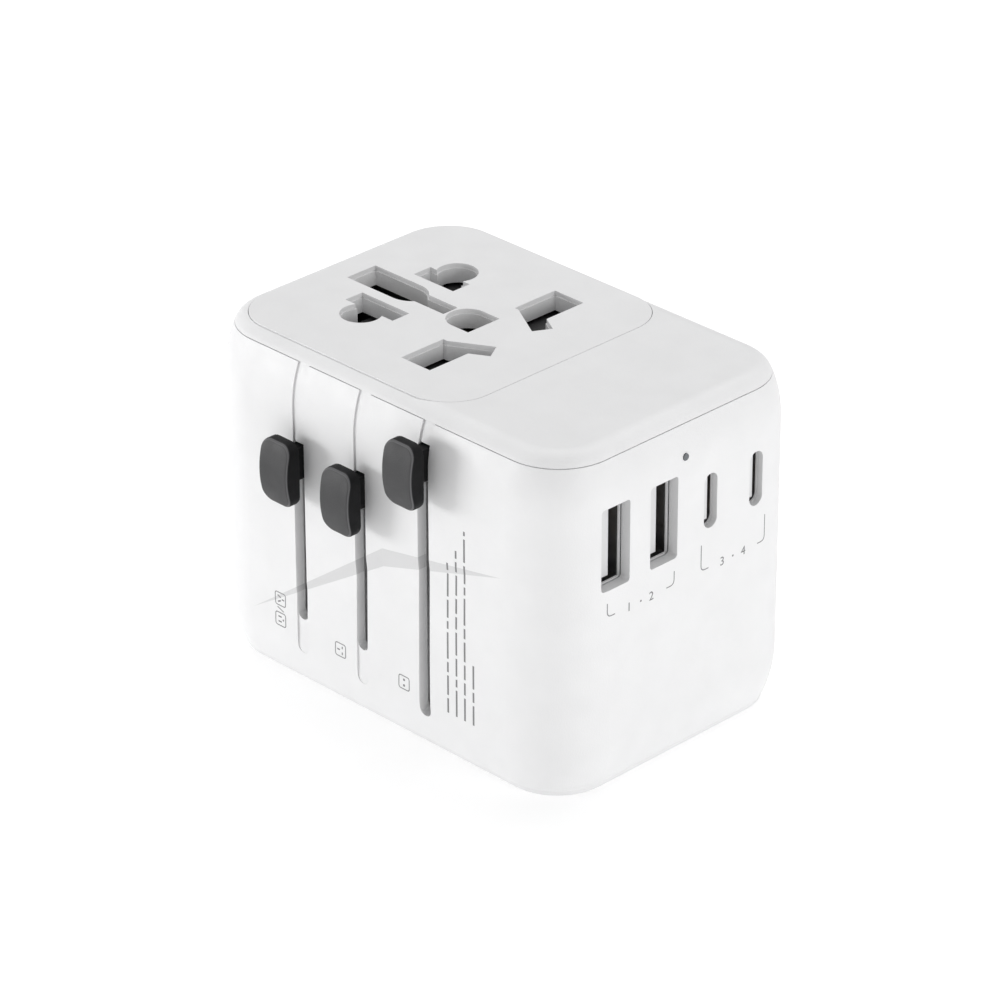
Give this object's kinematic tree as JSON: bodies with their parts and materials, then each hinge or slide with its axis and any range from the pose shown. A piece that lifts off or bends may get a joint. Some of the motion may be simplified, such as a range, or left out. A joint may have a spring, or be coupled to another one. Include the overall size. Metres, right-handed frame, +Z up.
{
  "type": "universal travel adapter",
  "caption": "Palm-sized white travel adapter with a multi-country socket panel, plug pins that slide out of the base on side knobs, and charging ports on one end.",
  "frame": {"origin": "centre of the flat base face", "axes": "+Z up through the socket panel, +X towards the charging ports, -Y towards the slider knobs"},
  "size_m": [0.0724, 0.0551, 0.0531],
  "materials": {
    "white_plastic": "fine matte texture",
    "black_plastic": "matte",
    "charcoal_plastic": "satin",
    "grey_plastic": "satin",
    "nickel_plate": "satin nickel",
    "port_steel": "stamped sheet",
    "brass": "drawn strip",
    "spring_steel": "drawn wire",
    "screw_steel": "zinc plated",
    "board": "solder mask",
    "ferrite": "matte",
    "winding": "tape over wire",
    "capacitor_can": "sleeved can",
    "light_pipe": "clear moulding",
    "fuse_body": "glazed"
  },
  "bodies": {
    "housing": {"main_housing": "white_plastic", "top_cover": "white_plastic", "socket_panel": "white_plastic", "base_plate": "white_plastic", "base_screws": "screw_steel", "contact_carrier": "black_plastic", "line_contact": "brass", "neutral_contact": "brass", "earth_contact": "brass", "line_supply_bar": "brass", "neutral_supply_bar": "brass", "shutter_spring": "spring_steel", "circuit_board": "board", "board_screws": "screw_steel", "large_port_shell_1": "port_steel", "large_port_shell_2": "port_steel", "large_port_tongue_1": "grey_plastic", "large_port_tongue_2": "grey_plastic", "small_port_shell_1": "port_steel", "small_port_shell_2": "port_steel", "small_port_tongue_1": "grey_plastic", "small_port_tongue_2": "grey_plastic", "status_light": "light_pipe", "transformer_core": "ferrite", "transformer_winding": "winding", "capacitors": "capacitor_can", "choke": "ferrite", "control_chips": "black_plastic", "fuse": "fuse_body", "fuse_clips": "brass"},
    "shutter": {"shutter_plate": "black_plastic"},
    "us_carriage": {"us_carriage": "black_plastic", "us_knob_spring": "spring_steel"},
    "us_line_seat": {"us_line_seat": "black_plastic", "us_line_blade": "nickel_plate"},
    "us_neutral_seat": {"us_neutral_seat": "black_plastic", "us_neutral_blade": "nickel_plate"},
    "us_knob": {"us_knob": "charcoal_plastic"},
    "uk_carriage": {"uk_carriage": "black_plastic", "uk_line_pin": "nickel_plate", "uk_neutral_pin": "nickel_plate", "uk_earth_pin": "black_plastic", "uk_pin_sleeves": "black_plastic", "uk_knob_spring": "spring_steel"},
    "uk_knob": {"uk_knob": "charcoal_plastic"},
    "eu_carriage": {"eu_block": "black_plastic", "eu_line_pin": "nickel_plate", "eu_neutral_pin": "nickel_plate", "eu_pin_sleeves": "black_plastic", "eu_knob_spring": "spring_steel"},
    "eu_knob": {"eu_knob": "charcoal_plastic"}
  },
  "joints": [
    {"name": "us_slide", "type": "slide", "parent": "housing", "child": "us_carriage", "axis": [0, 0, -1], "range_m": [0, 0.0226]},
    {"name": "us_line_twist", "type": "hinge", "parent": "us_carriage", "child": "us_line_seat", "pos_m": [-0.01297, -0.00635, 0.0251], "axis": [0, 0, 1], "range_deg": [0, 30]},
    {"name": "us_neutral_twist", "type": "hinge", "parent": "us_carriage", "child": "us_neutral_seat", "pos_m": [-0.01297, 0.00635, 0.0251], "axis": [0, 0, -1], "range_deg": [0, 30]},
    {"name": "us_knob_press", "type": "slide", "parent": "us_carriage", "child": "us_knob", "axis": [0, 1, 0], "range_m": [0, 0.0012], "stiffness_N_per_m": 900, "springref_m": -0.001, "deforming": ["us_knob_spring"]},
    {"name": "uk_slide", "type": "slide", "parent": "housing", "child": "uk_carriage", "axis": [0, 0, -1], "range_m": [0, 0.0226]},
    {"name": "uk_knob_press", "type": "slide", "parent": "uk_carriage", "child": "uk_knob", "axis": [0, 1, 0], "range_m": [0, 0.0012], "stiffness_N_per_m": 900, "springref_m": -0.001, "deforming": ["uk_knob_spring"]},
    {"name": "eu_slide", "type": "slide", "parent": "housing", "child": "eu_carriage", "axis": [0, 0, -1], "range_m": [0, 0.037]},
    {"name": "eu_knob_press", "type": "slide", "parent": "eu_carriage", "child": "eu_knob", "axis": [0, 1, 0], "range_m": [0, 0.0012], "stiffness_N_per_m": 900, "springref_m": -0.001, "deforming": ["eu_knob_spring"]},
    {"name": "shutter_slide", "type": "slide", "parent": "housing", "child": "shutter", "axis": [1, 0, 0], "range_m": [0, 0.0067], "stiffness_N_per_m": 120, "springref_m": -0.004, "deforming": ["shutter_spring"]}
  ]
}
